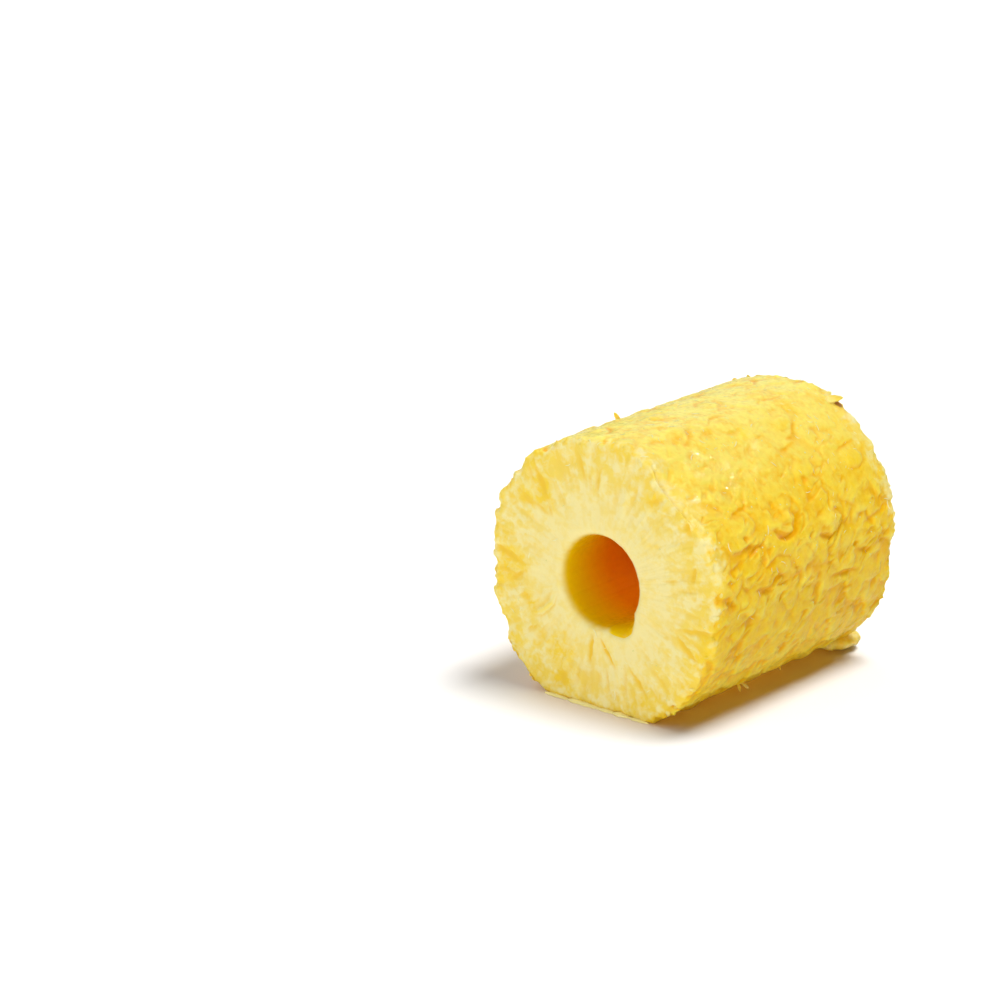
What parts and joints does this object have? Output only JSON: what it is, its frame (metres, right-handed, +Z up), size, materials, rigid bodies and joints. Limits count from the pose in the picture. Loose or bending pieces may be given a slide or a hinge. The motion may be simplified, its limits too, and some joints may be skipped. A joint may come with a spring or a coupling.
{
  "type": "cored pineapple",
  "caption": "Peeled pineapple block lying on its side, with square cut ends, rows of eye scars and a round hole along its middle where the core was.",
  "frame": {"origin": "middle of the part's footprint, on the surface that it lies on", "axes": "+Y along the cored hole, away from the end with the broken mouth; +Z up; +X to the right of that end seen from the front"},
  "size_m": [0.0966, 0.1106, 0.0942],
  "materials": {
    "flesh": "wet translucent yellow fruit flesh, paler on the cut ends and deep orange inside the hole"
  },
  "bodies": {
    "root": {"flesh": "flesh"}
  },
  "joints": []
}
